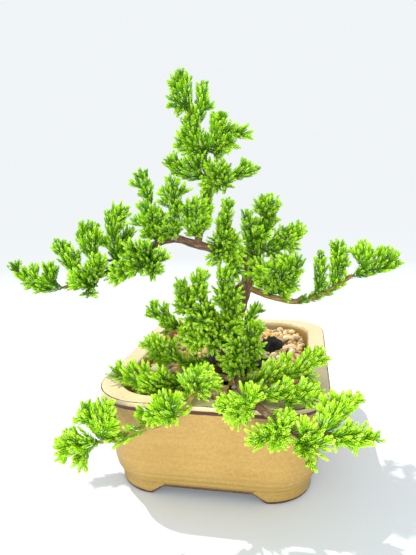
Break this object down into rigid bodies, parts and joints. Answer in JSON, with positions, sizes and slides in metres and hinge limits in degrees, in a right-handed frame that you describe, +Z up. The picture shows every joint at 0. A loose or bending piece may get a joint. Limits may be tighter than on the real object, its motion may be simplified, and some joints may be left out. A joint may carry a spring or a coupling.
{
  "type": "bonsai tree in a pot",
  "caption": "Small trailing juniper bonsai with an upright top, long side branches and low branches over the rim, in a glazed rectangular pot with gravel",
  "frame": {"origin": "middle of the ground that the whole plant covers, on the surface that the pot's feet stand on", "axes": "+Z up, +X to the viewer's right, +Y away from the viewer, along the pot's long side"},
  "size_m": [0.2592, 0.2258, 0.2571],
  "materials": {
    "glaze": "satin",
    "drain_mesh": "matte",
    "wire": "satin",
    "soil": "matte",
    "gravel": "matte",
    "bark": "matte",
    "young_bark": "matte",
    "dead_wood": "matte",
    "foliage": "matte"
  },
  "bodies": {
    "root": {"pot": "glaze", "drain_mesh_front": "drain_mesh", "mesh_wire_front": "wire", "drain_mesh_back": "drain_mesh", "mesh_wire_back": "wire", "soil": "soil", "gravel_layer": "gravel", "trunk": "bark", "left_limb": "bark", "upper_left_branch": "young_bark", "dead_stub": "dead_wood", "leader": "bark", "right_stem": "bark", "right_branch": "young_bark", "front_left_branch": "young_bark", "front_right_branch": "bark", "foliage_apex_tip": "foliage", "foliage_apex_second": "foliage", "foliage_apex_right": "foliage", "foliage_apex_low_right": "foliage", "foliage_apex_mid_left": "foliage", "foliage_apex_low_left": "foliage", "foliage_left_fan": "foliage", "foliage_left_upright": "foliage", "foliage_left_shoulder": "foliage", "foliage_centre_left": "foliage", "foliage_left_tip": "foliage", "foliage_left_outer": "foliage", "foliage_left_middle": "foliage", "foliage_left_under": "foliage", "foliage_left_inner": "foliage", "foliage_left_lower": "foliage", "foliage_left_back": "foliage", "foliage_centre_tall": "foliage", "foliage_low_left": "foliage", "foliage_low_middle": "foliage", "foliage_low_front": "foliage", "foliage_low_right": "foliage", "foliage_low_back": "foliage", "foliage_centre_right": "foliage", "foliage_right_crown": "foliage", "foliage_right_crown_low": "foliage", "foliage_right_side": "foliage", "foliage_right_low": "foliage", "foliage_right_inner": "foliage", "foliage_right_rise": "foliage", "foliage_right_tip": "foliage", "foliage_front_left_tip": "foliage", "foliage_front_left_rise": "foliage", "foliage_front_pad": "foliage", "foliage_front_middle": "foliage", "foliage_inner_left": "foliage", "foliage_inner_left_back": "foliage", "foliage_front_right_front": "foliage", "foliage_front_right_drop": "foliage", "foliage_front_right_hang": "foliage", "foliage_front_right_tip": "foliage", "foliage_front_right_rise": "foliage", "foliage_inner_right": "foliage", "foliage_inner_right_front": "foliage"}
  },
  "joints": []
}
